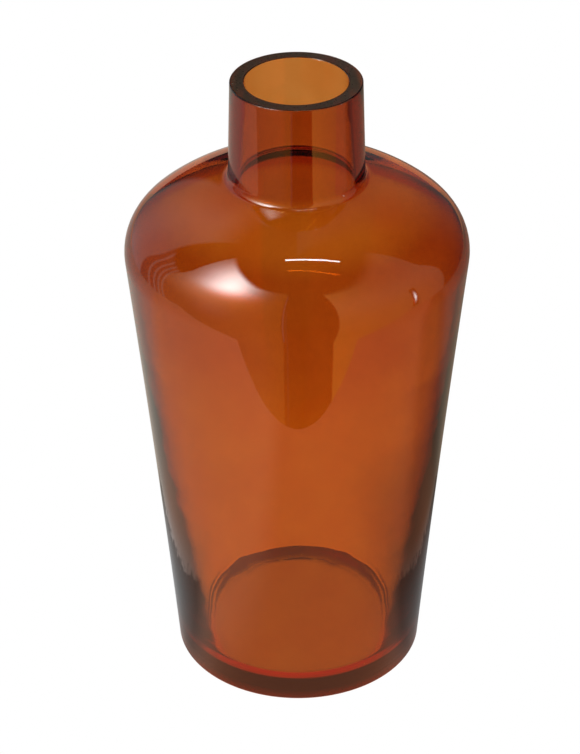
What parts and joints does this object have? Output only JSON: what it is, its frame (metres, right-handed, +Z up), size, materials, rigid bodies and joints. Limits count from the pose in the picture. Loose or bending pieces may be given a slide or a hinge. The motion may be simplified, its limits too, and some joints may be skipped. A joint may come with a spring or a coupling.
{
  "type": "glass bud vase",
  "caption": "Tall bottle-shaped bud vase in amber glass, tapering to a base with a thick heel, with a round shoulder and a short straight neck open at the top.",
  "frame": {"origin": "centre of the ring that the vase stands on, at table level", "axes": "+Z up along the axis of the vessel, out of the mouth; X and Y are alike, because the vessel is round"},
  "size_m": [0.1046, 0.1046, 0.2],
  "materials": {
    "amber_glass": "clear amber glass, fire-polished",
    "ground_glass": "amber glass with a flat ground top edge"
  },
  "bodies": {
    "root": {"rim": "ground_glass", "neck": "amber_glass", "shoulder": "amber_glass", "body_wall": "amber_glass", "base": "amber_glass"}
  },
  "joints": []
}
